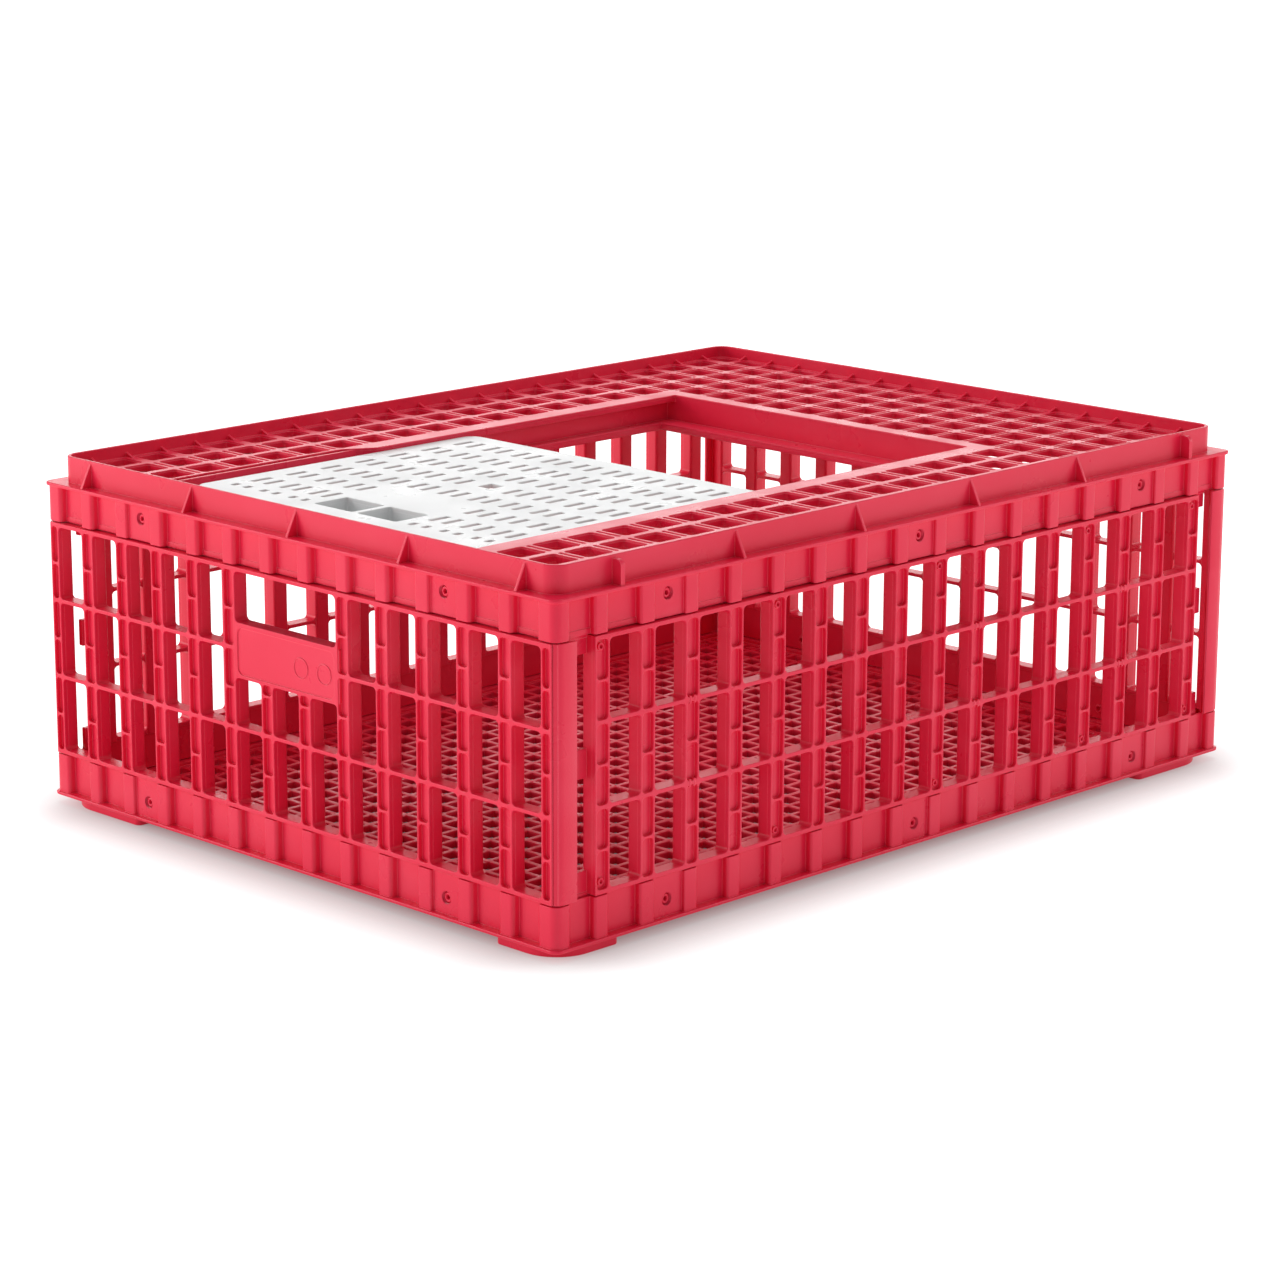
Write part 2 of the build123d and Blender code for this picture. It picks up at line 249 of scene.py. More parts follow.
def reach(side):
    """How far the footprint goes on this side."""
    return HALF_Y if side in LONG_SIDES else HALF_X


def finish_piece(bm, name, body, node, material):
    """Turns a shape in millimetres into a named piece that rides its CAD body."""
    mesh = bpy.data.meshes.new(name)
    bm.transform(Matrix.Scale(MM, 4))
    bm.to_mesh(mesh)
    bm.free()
    mesh.shade_smooth()
    piece = bpy.data.objects.new(name, mesh)
    bpy.context.scene.collection.objects.link(piece)
    weigh = piece.modifiers.new("weighted", "WEIGHTED_NORMAL")
    weigh.mode = "FACE_AREA"
    weigh.weight = 60
    weigh.keep_sharp = False
    mesh.materials.append(material)
    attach(piece, body)
    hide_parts(node)


# ---------------------------------------------------------------- outlines and plates
STRAIGHT = 0.02
LONGEST_TRIM = 0.48


def rounded(points, radius):
    """A closed outline with its corners turned into arcs. radius is one number or one per corner."""
    out = []
    n = len(points)
    for i in range(n):
        r = radius[i] if isinstance(radius, list) else radius
        here = Vector(points[i])
        into = here - Vector(points[i - 1])
        away = Vector(points[(i + 1) % n]) - here
        turn = into.angle_signed(away)
        if r <= 0 or abs(turn) < STRAIGHT:
            out.append(tuple(here))
            continue
        room = LONGEST_TRIM * min(into.length, away.length)
        trim = min(r * math.tan(abs(turn) / 2), room)
        r = trim / math.tan(abs(turn) / 2)
        start = here - into.normalized() * trim
        sideways = Vector((-into.y, into.x)).normalized() * (-1 if turn > 0 else 1)
        centre = start + sideways * r
        spoke = start - centre
        steps = max(2, round(abs(turn) * (1.4 + r / 4)))
        for k in range(steps + 1):
            a = -turn * k / steps
            out.append((centre.x + spoke.x * math.cos(a) - spoke.y * math.sin(a),
                        centre.y + spoke.x * math.sin(a) + spoke.y * math.cos(a)))
    return out


def rect(x0, x1, y0, y1, radius):
    """A rounded rectangle; the ends of each side may come in either order."""
    x0, x1 = min(x0, x1), max(x0, x1)
    y0, y1 = min(y0, y1), max(y0, y1)
    return rounded([(x0, y0), (x1, y0), (x1, y1), (x0, y1)], radius)


def inside(inset, radius):
    """A rounded rectangle this far inside the footprint."""
    x, y = HALF_X - inset, HALF_Y - inset
    return rect(-x, x, -y, y, radius)


def plate(outlines, z0, z1, edge=EDGE, steps=0):
    """A flat plate with softened edges: the first outline is its outside, the others are holes."""
    curve = bpy.data.curves.new("plate", "CURVE")
    curve.dimensions = "2D"
    curve.fill_mode = "BOTH"
    curve.extrude = (z1 - z0) / 2 - edge
    curve.bevel_depth = edge
    curve.bevel_resolution = steps
    curve.offset = -edge
    for outline in outlines:
        spline = curve.splines.new("POLY")
        spline.points.add(len(outline) - 1)
        for point, (x, y) in zip(spline.points, outline):
            point.co = (x, y, 0.0, 1.0)
        spline.use_cyclic_u = True
    holder = bpy.data.objects.new("plate", curve)
    mesh = bpy.data.meshes.new_from_object(holder)
    bm = bmesh.new()
    bm.from_mesh(mesh)
    bpy.data.objects.remove(holder)
    bpy.data.curves.remove(curve)
    bpy.data.meshes.remove(mesh)
    bmesh.ops.remove_doubles(bm, verts=bm.verts, dist=0.001)
    bmesh.ops.translate(bm, verts=bm.verts, vec=(0.0, 0.0, (z0 + z1) / 2))
    bmesh.ops.recalc_face_normals(bm, faces=bm.faces)
    return bm


def block(x0, x1, y0, y1, z0, z1, edge=0.4, corner=0.6):
    return plate([rect(x0, x1, y0, y1, corner)], z0, z1, edge)


# ---------------------------------------------------------------- bands
PILASTER = 15.0
POST = {"long": 17.5, "end": 20.5}
SLOPE = 1.2
RAISED_ROUND = 4.2
BAY_ROUND = 0.7
POST_ROUND = 7.0
BAND_INNER_ROUND = 9.0
BAND_EDGE = 0.6
HOLE_MOUTH = 0.6
HOLE_LEAD = 0.4
HOLE_REACH = (4.0, -9.0)
HOLE_STEPS = 32


def band_side(half, run, post, rivets):
    """One side of a band's plan, as (position along the side, inset from the footprint)."""
    wide = PILASTER / 2
    raised = [(c - wide, c + wide, PILASTER_IN) for c in centres(run) if abs(c) < half - post - wide]
    raised.append((-half + PILASTER_IN, -half + post, PILASTER_IN))
    raised.append((half - post, half - PILASTER_IN, PILASTER_IN))
    gap = run["pitch"] / 2
    raised += [(x - gap, x + gap, PAD) for x in rivets]
    marks = sorted({round(mark, 3) for part in raised for mark in part[:2]})
    levels = []
    for a, b in zip(marks, marks[1:]):
        found = [inset for start, end, inset in raised if start < (a + b) / 2 < end]
        levels.append((b, min(found + [BAY])))
    points = []
    for (b, level), (_, following) in zip(levels, levels[1:]):
        if following == level:
            continue
        lean = SLOPE * (following - level) / (BAY - PILASTER_IN)
        points.append((b - lean / 2, level))
        points.append((b + lean / 2, following))
    return points


def band_outline():
    """Plan of a band: a thin ring with pilasters, rivet pads and rounded corner posts."""
    long_side = band_side(HALF_X, LONG, POST["long"], LONG_RIVETS)
    end_side = band_side(HALF_Y, END, POST["end"], END_RIVETS)
    corner_x, corner_y = HALF_X - PILASTER_IN, HALF_Y - PILASTER_IN
    half = [(-corner_x, -corner_y)] + [(along, -HALF_Y + inset) for along, inset in long_side]
    half += [(corner_x, -corner_y)] + [(HALF_X - inset, along) for along, inset in end_side]
    points = half + [(-x, -y) for x, y in half]
    radii = []
    for x, y in points:
        inset = min(HALF_X - abs(x), HALF_Y - abs(y))
        if abs(x) == corner_x and abs(y) == corner_y:
            radii.append(POST_ROUND)
        elif inset < PILASTER_IN + SINK:
            radii.append(RAISED_ROUND)
        else:
            radii.append(BAY_ROUND)
    return rounded(points, radii)


def rivet_places():
    """Every rivet as (side, number, position along the side)."""
    places = []
    for sides, run in ((LONG_SIDES, LONG_RIVETS), (END_SIDES, END_RIVETS)):
        for side in sides:
            places += [(side, k + 1, along) for k, along in enumerate(run)]
    return places


def band(z0, z1, rivet_z):
    """A band with its stepped rivet holes cut, one at a time."""
    bm = plate([band_outline(), inside(BAND_IN, BAND_INNER_ROUND)], z0, z1, BAND_EDGE, 1)
    outer, inner = HOLE_REACH
    mouth = SEAT_RADIUS + HOLE_MOUTH
    profile = [(0.0, outer), (mouth, outer), (mouth, HOLE_LEAD), (SEAT_RADIUS + SINK, 0.0),
               (SEAT_RADIUS, -SEAT), (BORE, -SEAT), (BORE, inner), (0.0, inner)]
    for side, _, along in rivet_places():
        drill = stand(lathe(profile, HOLE_STEPS), along, -(reach(side) - PAD), rivet_z)
        bm = subtract(bm, turned(drill, side))
    return bm


# ---------------------------------------------------------------- base tray
LIP_WIDTH = 13.0
LIP_INNER_ROUND = 6.0
LIP_EDGE = 0.9
KERB = (8.5, 19.0)
KERB_ROUND = (8.0, 2.0)
KERB_TOP = 14.0
FLOOR_X = {"count": 38, "pitch": 20.0}
FLOOR_Y = {"count": 28, "pitch": 20.0}
FLOOR_HOLE = 15.0
FLOOR_IN = 6.0
FLOOR_RIBS_IN = 16.0
FLOOR_DEPTH = 5.0
FLOOR_EDGE = 0.6
FOOT_IN = 6.0
FOOT_WIDTH = 22.0
FOOT_ROUNDS = [5.0, 36.0, 5.0, 3.0, 14.0, 3.0]
FOOT_EDGE = 1.0
SHORT_LEG = 65.0
LONG_LEG = 100.0


def floor_mesh():
    """The floor's square mesh, with ribs that go down between the feet."""
    cells = Cells()
    top = LIP_TOP - SINK
    for inset, z0, z1 in ((FLOOR_IN, FOOT_TOP + SINK, top), (FLOOR_RIBS_IN, FLOOR_DEPTH, FOOT_TOP + SINK)):
        x, y = HALF_X - inset, HALF_Y - inset
        cells.add(-x, x, -y, y, z0, z1)
    h = FLOOR_HOLE / 2
    for x in centres(FLOOR_X):
        for y in centres(FLOOR_Y):
            cells.cut(x - h, x + h, y - h, y + h, FLOOR_DEPTH, top)
    bm = cells.mesh()
    sharp = [e for e in bm.edges if len(e.link_faces) == 2 and e.calc_face_angle(0.0) > SHARP]
    bevel(bm, sharp, FLOOR_EDGE, False)
    return bm


def foot(sx, sy, leg):
    """An L-shaped pad under one corner, following the corner's curve."""
    x, y = HALF_X - FOOT_IN, HALF_Y - FOOT_IN
    in_x, in_y = x - FOOT_WIDTH, y - FOOT_WIDTH
    points = [(x - leg, y), (x, y), (x, y - leg), (in_x, y - leg), (in_x, in_y), (x - leg, in_y)]
    points = [(sx * a, sy * b) for a, b in points]
    radii = list(FOOT_ROUNDS)
    if sx * sy > 0:
        points.reverse()
        radii.reverse()
    return plate([rounded(points, radii)], 0.0, FOOT_TOP + 0.6, FOOT_EDGE, 1)


def base_tray():
    bm = band(LIP_TOP - 0.5, BAND_TOP, RIVET_Z["low"])
    lip = [inside(0.0, LIP_ROUND), inside(LIP_WIDTH, LIP_INNER_ROUND)]
    merge(bm, plate(lip, FOOT_TOP, LIP_TOP, LIP_EDGE, 1))
    kerb = [inside(inset, radius) for inset, radius in zip(KERB, KERB_ROUND)]
    merge(bm, plate(kerb, LIP_TOP - 1.0, KERB_TOP))
    merge(bm, floor_mesh())
    for sx in (-1, 1):
        for sy in (-1, 1):
            merge(bm, foot(sx, sy, SHORT_LEG if sx == sy else LONG_LEG))
    return bm


# ---------------------------------------------------------------- walls
# windows between the uprights, and the channel down the front of each upright
ROWS = [(47.5, 108.4), (111.6, 172.4), (175.6, 235.5)]
RIBS = [77.5, 141.5, 205.0]
RIB_HALF = 1.0
WINDOW_ROUND = 3.6
CHANNEL_ROUND = 3.0
PANEL_ROUND = 0.8
FLANGE = 1.7
DEPTH = 14.0
PANEL_BACK = 1.2
PANEL_EDGE = 0.55
WEB = 10.4
WEB_BEYOND = 0.12
WEB_ROUNDS = [0.3, 0.3, 2.2, 2.2]
WEB_SHORT = 0.3

# hand hole of an end wall, and the plate under it
HAND_HALF = 59.5
HAND_PLATE = (153.5, 195.0)
HAND_TOP = 235.5
HAND_BAR = 3.0
HAND_ROUND = 4.0
PLATE_FACE = (3.6, 0.9)
PLATE_HOLE_ROUND = 6.0
GRIP_DEPTH = 12.5
GRIP_THICK = 3.4
CIRCLE_X = (18.0, 45.0)
CIRCLE_Z = 171.5
CIRCLE = [(7.4, -1.0), (7.4, 0.35), (7.9, 0.55), (8.5, 0.35), (8.5, -1.0)]
CIRCLE_STEPS = 40

# strips behind the bands
TONGUE_LOW = 14.5
TONGUE_HIGH = 268.0
TONGUE_THICK = 3.0
TONGUE_OVERLAP = 2.0
TONGUE_HOLE_STEPS = 16

# ends of the walls
RETURN = 21.5
TABS = [(44.0, 62.0), (132.0, 154.0), (225.0, 239.0)]
TAB_FRONT = 9.0
TAB_OVERLAP = 1.5
CORNER_ROUND = 9.0
CORNER_START = 4.8
CORNER_STEPS = 6
CORNER_THICK = 3.2
END_PANEL_SHORT = 4.5

# moulding details of the long walls
BOSS_UPRIGHTS = (0, 4, 8, 12, 15)
BOSS_Z = (230.0, 53.0)
BOSS = [(1.3, 0.0), (1.3, 9.2), (2.6, 9.2), (3.0, 8.8), (3.2, 0.0)]
BOSS_STEPS = 20
PIP_UPRIGHTS = (2, 9, 13)
PIP_Z = (110.0, 174.0)
PIP_APART = 2.4
PIP_HALF = (1.2, 3.0)
PIP_DEPTH = (-0.3, 4.0)


def rows_at(x, hand_hole):
    """Window rows at this place as (bottom, top, rib height), cut short under a hand hole."""
    under = hand_hole and abs(x) < HAND_HALF
    highest = HAND_PLATE[0] - HAND_BAR
    rows = []
    for (z0, z1), rib in zip(ROWS, RIBS):
        if not under:
            rows.append((z0, z1, rib))
        elif z0 <= highest:
            rows.append((z0, min(z1, highest), rib))
    return rows


def wall_outlines(run, half_span, hand_hole):
    """The lattice's outside, then its windows, the channels of its uprights and its hand hole."""
    outlines = [rect(-half_span, half_span, WALL[0], WALL[1], PANEL_ROUND)]
    places = centres(run)
    half = run["width"] / 2
    for a, b in zip(places, places[1:]):
        for z0, z1, _ in rows_at((a + b) / 2, hand_hole):
            outlines.append(rect(a + half, b - half, z0, z1, WINDOW_ROUND))
    for c in places:
        x0 = max(c - half, -half_span) + FLANGE
        x1 = min(c + half, half_span) - FLANGE
        for z0, z1, rib in rows_at(c, hand_hole):
            outlines.append(rect(x0, x1, z0, rib - RIB_HALF, CHANNEL_ROUND))
            outlines.append(rect(x0, x1, rib + RIB_HALF, z1, CHANNEL_ROUND))
    if hand_hole:
        outlines.append(rect(-HAND_HALF, HAND_HALF, HAND_PLATE[1], HAND_TOP, HAND_ROUND))
        recess = HAND_HALF - 2.5
        outlines.append(rect(-recess, recess, HAND_PLATE[0], HAND_PLATE[1] - 4.0, PLATE_HOLE_ROUND))
    return outlines


def wall_panel(side, run, half_span, hand_hole):
    """The lattice of a wall: flanges and bars in front, rounded webs behind the uprights."""
    face = reach(side) - FACE
    back = face - DEPTH
    outlines = wall_outlines(run, half_span, hand_hole)
    bm = stand(plate(outlines, back + PANEL_BACK, face, PANEL_EDGE, 1))
    half = run["width"] / 2 + WEB_BEYOND
    deep = -back - WEB
    for c in centres(run):
        top = WALL[1] - WEB_SHORT
        if hand_hole and abs(c) < HAND_HALF:
            top = HAND_PLATE[0] - 1.0
        points = [(c - half, deep), (c + half, deep), (c + half, -back), (c - half, -back)]
        merge(bm, plate([rounded(points, WEB_ROUNDS)], WALL[0] + WEB_SHORT, top, 0.4))
    return bm


def tongues(half_span, depth, rivets):
    """Strips that slip behind the bands and take the rivets."""
    face = depth - BAND_IN - SINK
    bm = bmesh.new()
    strips = ((TONGUE_LOW, WALL[0] + TONGUE_OVERLAP, RIVET_Z["low"]),
              (WALL[1] - TONGUE_OVERLAP, TONGUE_HIGH, RIVET_Z["high"]))
    for z0, z1, rivet_z in strips:
        outlines = [rect(-half_span, half_span, z0, z1, 1.0)]
        for x in rivets:
            turns = [-2 * math.pi * k / TONGUE_HOLE_STEPS for k in range(TONGUE_HOLE_STEPS)]
            outlines.append([(x + BORE * math.cos(a), rivet_z + BORE * math.sin(a)) for a in turns])
        merge(bm, stand(plate(outlines, face - TONGUE_THICK, face, 0.4)))
    return bm


def long_wall(side):
    """A long side's lattice with end tabs, moulding pins in its channels, pips and tongues."""
    places = centres(LONG)
    span = places[-1] + LONG["width"] / 2
    face = HALF_Y - FACE
    bm = wall_panel(side, LONG, span, False)
    post = HALF_X - FACE - RETURN - 0.5
    for end in (-1, 1):
        for z0, z1 in TABS:
            merge(bm, block(end * (span - TAB_OVERLAP), end * post, -face + TAB_FRONT, -face + DEPTH,
                            z0, z1, 0.5))
    for k in BOSS_UPRIGHTS:
        for z in BOSS_Z:
            merge(bm, stand(lathe(BOSS, BOSS_STEPS), places[k], -(face - DEPTH + 3.0), z))
    half_x, half_z = PIP_HALF
    for k in PIP_UPRIGHTS:
        for z in PIP_Z:
            for x in (places[k] - PIP_APART, places[k] + PIP_APART):
                merge(bm, block(x - half_x, x + half_x, -face + PIP_DEPTH[0], -face + PIP_DEPTH[1],
                                z - half_z, z + half_z))
    merge(bm, tongues(post, HALF_Y, LONG_RIVETS))
    return turned(bm, side)


def corner_post(end):
    """Rounded outer corner of an end wall, which wraps onto the long side."""
    face, span, r = HALF_X - FACE, HALF_Y - FACE, CORNER_ROUND
    first = math.acos((r - CORNER_START) / r)
    points = []
    for k in range(CORNER_STEPS + 1):
        a = first * (1 - k / CORNER_STEPS)
        points.append((end * (span - r + r * math.cos(a)), -(face - r + r * math.sin(a))))
    inner = end * (span - CORNER_THICK)
    points += [(end * span, -face + RETURN), (inner, -face + RETURN), (inner, -face + DEPTH)]
    if end > 0:
        points.reverse()
    return plate([points], WALL[0], WALL[1], 0.5, 1)


def hand_plate(face):
    """The plate under a hand hole: its skin, the bar that fingers hold and two plain circles."""
    bottom, top = HAND_PLATE
    behind, front = PLATE_FACE
    skin = rect(-HAND_HALF - 3.0, HAND_HALF + 3.0, bottom - 2.0, top - 1.0, 1.0)
    bm = stand(plate([skin], face - behind, face - front, 0.3))
    merge(bm, block(-HAND_HALF - 1.0, HAND_HALF + 1.0, -face + 0.3, -face + GRIP_DEPTH,
                    top - GRIP_THICK, top, 0.5))
    for x in CIRCLE_X:
        merge(bm, stand(lathe(CIRCLE, CIRCLE_STEPS), x, -face + front, CIRCLE_Z))
    return bm


def end_wall(side):
    """A short side's lattice with its hand hole and plate, corner posts and tongues."""
    face = HALF_X - FACE
    bm = wall_panel(side, END, HALF_Y - FACE - END_PANEL_SHORT, True)
    merge(bm, hand_plate(face))
    for end in (-1, 1):
        merge(bm, corner_post(end))
    merge(bm, tongues(HALF_Y - FACE - DEPTH - 2.0, HALF_X, END_RIVETS))
    return turned(bm, side)


# ---------------------------------------------------------------- top frame
# the grid, its cells and the grooves in its bars
COLUMNS = {"count": 20, "pitch": 36.0, "cell": 26.5}
LINES = {"count": 15, "pitch": 34.0, "cell": 27.0}
CELL_FROM_RIM = 2.2
CELL_ROUND = 3.2
CORNER_CELL_ROUND = 8.0
GROOVE = {"across": (3.0, 25.0, 1.4), "along": (24.0, 2.4, 1.1)}
GRID_SKIN = (1.4, 2.2)
GRID_UNDERCUT = 0.35

# the loading opening: left end, right end, half width, then the lip's cut on the far side
OPENING = (-368.0, 205.0, 171.0)
LIP_CUT = (-178.0, -150.0, 187.0)
OPENING_ROUNDS = [2.0, 2.0, 2.0, 16.0, 16.0, 4.0]

# the channels that carry the door
RAIL = {"wall": (180.5, 183.5), "ledge": (170.0, 260.5), "bottom": 254.0}
RAIL_THICK = 3.0
STOP_LEDGE = 19.0
TURNED_EDGE = 2.5

# the rim with its ribs, and the bead under the upper band
RIM_ROUND = 14.0
RIM_EDGE = 0.8
LONG_RIBS = [-202.5, -68.0, 68.0, 202.5]
END_RIBS = [-257.5, -131.5, -5.0, 121.0, 250.0]
KEY_RIBS = [-330.5, 344.0]
RIB_FOOT = RIM_OUT - 1.2
RIB_SINK = (0.8, 0.4)
GUSSET = {"half": 1.4, "toe": 1.2, "below_top": 1.6, "soft": 0.35}
KEY_RIB = {"half": 2.0, "round": 7.0, "below_top": 2.5, "soft": 0.4}
FIN = {"half": 1.2, "run": 11.0, "rise": 4.2, "thick": 3.0, "soft": 0.3}
BEAD_WIDTH = 2.0
BEAD_TOP = 4.5
BEAD_BEYOND = 0.7


def spans(run, half):
    """Cell edges along one direction, with the narrower cells beside the rim at both ends."""
    edge = run["count"] / 2 * run["pitch"] + (run["pitch"] - run["cell"]) / 2
    cells = [(c - run["cell"] / 2, c + run["cell"] / 2) for c in centres(run)]
    return [(-half + CELL_FROM_RIM, -edge)] + cells + [(edge, half - CELL_FROM_RIM)]


def beside_opening(x, y):
    return abs(y) < LIP_CUT[2] and x < OPENING[1] + 10.0


def opening_outline(grow=0.0):
    """The loading opening, with the lip cut back in a smooth lead-in on the far side."""
    x0, x1, y = OPENING
    start, end, wide = LIP_CUT
    points = [(x0 - grow, -y - grow), (x1 + grow, -y - grow), (x1 + grow, y + grow), (end, y + grow),
              (start, wide + grow), (x0 - grow, wide + grow)]
    return rounded(points, OPENING_ROUNDS)


def grid_cells(shrink):
    """Outlines of the grid's cells; the four at its corners follow the rim's curve."""
    xs, ys = spans(COLUMNS, HALF_X - RIM_IN), spans(LINES, HALF_Y - RIM_IN)
    ends_x, ends_y = (xs[0][0], xs[-1][1]), (ys[0][0], ys[-1][1])
    holes = []
    for cell_x in xs:
        for cell_y in ys:
            if beside_opening(sum(cell_x) / 2, sum(cell_y) / 2):
                continue
            points = []
            radii = []
            for i, j in QUAD:
                x, y = cell_x[i], cell_y[j]
                points.append((x - shrink if i else x + shrink, y - shrink if j else y + shrink))
                radii.append(CORNER_CELL_ROUND if x in ends_x and y in ends_y else CELL_ROUND)
            holes.append(rounded(points, radii))
    return holes


def groove(x, y, kind):
    length_x, length_y, radius = GROOVE[kind]
    return rect(x - length_x / 2, x + length_x / 2, y - length_y / 2, y + length_y / 2, radius)


def grooves():
    """Shallow grooves along the crossbars, and along both sets of bars at the closed end."""
    out = []
    for x in between(COLUMNS):
        out += [groove(x, y, "across") for y in centres(LINES) if not beside_opening(x - 10.0, y)]
    for y in between(LINES):
        out += [groove(x, y, "along") for x in centres(COLUMNS) if x > OPENING[1] + 20.0]
    return out


def grid():
    """Two layers: the lower one has smaller cells, the upper one the grooves."""
    outline = inside(RIM_IN - 0.6, RIM_INNER_ROUND)
    below, overlap = GRID_SKIN
    lower = [outline, opening_outline(0.3)] + grid_cells(GRID_UNDERCUT)
    bm = plate(lower, GRID[0], GRID[1] - below, 0.3)
    upper = [outline, opening_outline()] + grid_cells(0.0) + grooves()
    merge(bm, plate(upper, GRID[1] - overlap, GRID[1], 0.7, 1))
    return bm


def rails():
    """Walls round the opening, ledges that carry the door and their turned-down edges."""
    bm = bmesh.new()
    x0, x1 = OPENING[0] - RAIL_THICK, OPENING[1]
    w0, w1 = RAIL["wall"]
    ledge, top = RAIL["ledge"]
    bottom = RAIL["bottom"]
    under_grid = GRID[1] - 1.0
    for side in (-1, 1):
        merge(bm, block(x0, x1 + RAIL_THICK, side * w0, side * w1, bottom + 0.2, under_grid))
        merge(bm, block(x0, x1, side * ledge, side * (w1 - 0.3), top - RAIL_THICK, top, 0.5))
        merge(bm, block(x0, x1, side * (ledge + SINK), side * (ledge + TURNED_EDGE + SINK), bottom,
                        top - SINK, 0.9))
    inner = x1 - STOP_LEDGE
    merge(bm, block(x1, x1 + RAIL_THICK, -w1, w1, bottom + 0.2, under_grid))
    merge(bm, block(inner, x1 + 2.7, -w1 + 0.3, w1 - 0.3, top - RAIL_THICK - SINK, top - SINK, 0.5))
    merge(bm, block(inner + SINK, inner + SINK + TURNED_EDGE, -ledge, ledge, bottom + SINK, top - 0.2, 0.9))
    merge(bm, block(x0, x0 + RAIL_THICK, -w1, w1, bottom + SINK, under_grid))
    return bm


def gusset(x, face):
    """A thin triangular rib from the rim's face down to the ledge's edge."""
    behind, below = RIB_SINK
    base, top = LEDGE[1] - below, RIM_TOP - GUSSET["below_top"]
    toe = -face - RIB_FOOT
    points = [(-face + behind, base), (toe, base), (toe, base + GUSSET["toe"]), (-face - 0.2, top),
              (-face + behind, top)]
    return prism(points, x - GUSSET["half"], x + GUSSET["half"], GUSSET["soft"])


def key_rib(x, face):
    """A thick rib with a rounded shoulder."""
    behind, below = RIB_SINK
    base, top = LEDGE[1] - below, RIM_TOP - KEY_RIB["below_top"]
    toe = -face - RIB_FOOT + 0.5
    points = [(toe, base), (-face + behind, base), (-face + behind, top), (toe, top)]
    outline = rounded(points, [0.3, 0.3, 0.3, KEY_RIB["round"]])
    return prism(outline, x - KEY_RIB["half"], x + KEY_RIB["half"], KEY_RIB["soft"])


def rim_ribs():
    """Gussets round the outside of the rim, and two thicker ribs on each long side."""
    bm = bmesh.new()
    for side in SIDE_TURN:
        face = reach(side) - RIM_OUT
        mirror = -1 if side in ("left", "rear") else 1
        for x in LONG_RIBS if side in LONG_SIDES else END_RIBS:
            merge(bm, turned(gusset(mirror * x, face), side))
        if side in LONG_SIDES:
            for x in KEY_RIBS:
                merge(bm, turned(key_rib(x, face), side))
    return bm


def rim_fins():
    """Small fins where each grid bar runs up the inside of the rim."""
    bm = bmesh.new()
    top = GRID[1] - 0.3
    base = top - FIN["thick"]
    for side in SIDE_TURN:
        rim = -(reach(side) - RIM_IN) - RIB_SINK[0]
        tip = -(reach(side) - RIM_IN) + FIN["run"]
        for x in between(COLUMNS if side in LONG_SIDES else LINES):
            points = [(rim, base), (tip, base), (tip, top), (rim, top + FIN["rise"])]
            merge(bm, turned(prism(points, x - FIN["half"], x + FIN["half"], FIN["soft"]), side))
    return bm


def top_frame():
    bm = band(UPPER_BAND, LEDGE[0] + 0.5, RIVET_Z["high"])
    bead = BAY - BEAD_BEYOND
    merge(bm, plate([inside(bead, 8.0), inside(bead + BEAD_WIDTH, 7.0)], UPPER_BAND + SINK,
                    UPPER_BAND + BEAD_TOP, 0.3))
    ledge = [inside(0.0, LIP_ROUND), inside(RIM_IN, RIM_INNER_ROUND)]
    merge(bm, plate(ledge, LEDGE[0], LEDGE[1], RIM_EDGE, 1))
    rim = [inside(RIM_OUT, RIM_ROUND), inside(RIM_IN + 0.02, RIM_INNER_ROUND)]
    merge(bm, plate(rim, LEDGE[1] - 1.0, RIM_TOP, RIM_EDGE, 1))
    for part in (grid, rails, rim_ribs, rim_fins):
        merge(bm, part())
    return bm


# ---------------------------------------------------------------- sliding door
# left end, right end and half width, then heights
DOOR = (-348.0, -44.0, 170.2)
DOOR_TOP = 280.0
DOOR_SKIN = 4.0
DOOR_ROUND = 12.0
SKIRT_BOTTOM = 268.0
SKIRT_THICK = 3.0
SLOT_HALF = 2.8
SLOT_ROUND = 1.2
SLOT_COLUMNS = {"first": -294.5, "pitch": 36.75, "count": 7, "length": 20.5}
SHORT_SLOTS = (-321.5, 8.0)
SLOT_PAIRS = 4
PAIR_PITCH = 35.3
PAIR_HALF = 7.5
FIELD = (-236.0, 54.0)
SQUARE_X = -181.5
SQUARE_HALF = 7.5
POCKET = (-326.0, -291.5, 3.0, 48.0)
POCKET_WALL = 2.0
POCKET_BOTTOM = 264.0
FLANGE_Z = (273.5, 276.8)
FLANGE_REACH = 179.2
FLANGE_SHORT = 12.0
RUNNER_IN = 175.8
RUNNER_BOTTOM = 260.8


def door_slots():
    """Rows of short slots in pairs, leaving room for the two finger pockets and a plain field."""
    out = []
    first, pitch, length = SLOT_COLUMNS["first"], SLOT_COLUMNS["pitch"], SLOT_COLUMNS["length"]
    columns = [SHORT_SLOTS] + [(first + pitch * i, length) for i in range(SLOT_COLUMNS["count"])]
    field_x, field_y = FIELD
    for x, length in columns:
        for k in range(-SLOT_PAIRS, SLOT_PAIRS + 1):
            for half in (-1, 1):
                y = PAIR_PITCH * k + PAIR_HALF * half
                in_field = x < field_x and abs(y) < field_y
                at_square = abs(x - SQUARE_X) < length and abs(y) < SQUARE_HALF + 1.5
                if not in_field and not at_square:
                    out.append(rect(x - length / 2, x + length / 2, y - SLOT_HALF, y + SLOT_HALF, SLOT_ROUND))
    out.append(rect(SQUARE_X - SQUARE_HALF, SQUARE_X + SQUARE_HALF, -SQUARE_HALF, SQUARE_HALF, 1.0))
    return out


def pocket_outline(side, grow, radius):
    """One finger pocket's outline, made larger all round by grow."""
    x0, x1, y0, y1 = POCKET
    return rect(x0 - grow, x1 + grow, side * (y0 - grow), side * (y1 + grow), radius)


